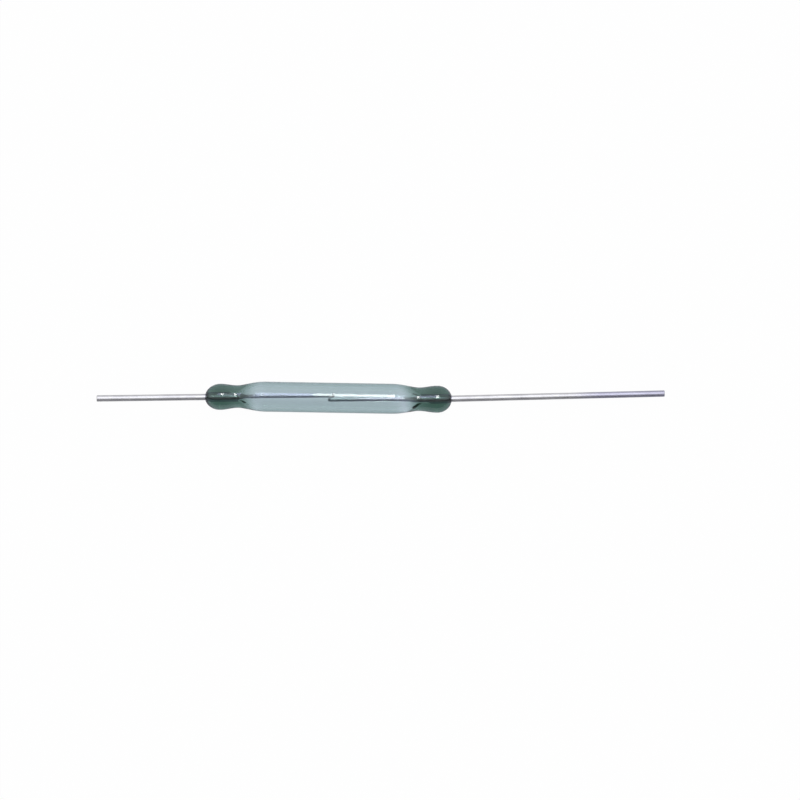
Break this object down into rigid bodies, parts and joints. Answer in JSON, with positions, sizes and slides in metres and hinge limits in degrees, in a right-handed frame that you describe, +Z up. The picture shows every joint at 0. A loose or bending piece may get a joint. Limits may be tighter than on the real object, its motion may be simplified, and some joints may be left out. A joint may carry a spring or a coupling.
{
  "type": "glass reed switch",
  "caption": "Slim sealed glass tube with a rounded bead at each end, through which flattened reed leads reach in and overlap across a small contact gap that a magnet closes.",
  "frame": {"origin": "the middle of the glass tube, on its axis", "axes": "+X along the tube towards the longer lead, +Y the way the left blade stands off the right one, +Z up, along the width of the blades"},
  "size_m": [0.0483, 0.0026, 0.0026],
  "materials": {
    "green_glass": "clear fire-polished green-grey glass",
    "lead_metal": "bright tinned wire",
    "blade_metal": "satin plated nickel-iron"
  },
  "bodies": {
    "envelope": {"glass_envelope": "green_glass", "left_lead": "lead_metal", "right_lead": "lead_metal"},
    "left_reed": {"left_blade": "blade_metal"},
    "right_reed": {"right_blade": "blade_metal"}
  },
  "joints": [
    {"name": "left_flex", "type": "hinge", "parent": "envelope", "child": "left_reed", "pos_m": [-0.00625, 0, 0], "axis": [0, 0, -1], "range_deg": [0, 0.77], "stiffness_Nm_per_rad": 0.0847},
    {"name": "right_flex", "type": "hinge", "parent": "envelope", "child": "right_reed", "pos_m": [0.00625, -0.00002, 0], "axis": [0, 0, -1], "range_deg": [0, 0.66]}
  ],
  "couplings": [
    {"joint": "right_flex", "follows": "left_flex", "ratio": 0.852}
  ]
}
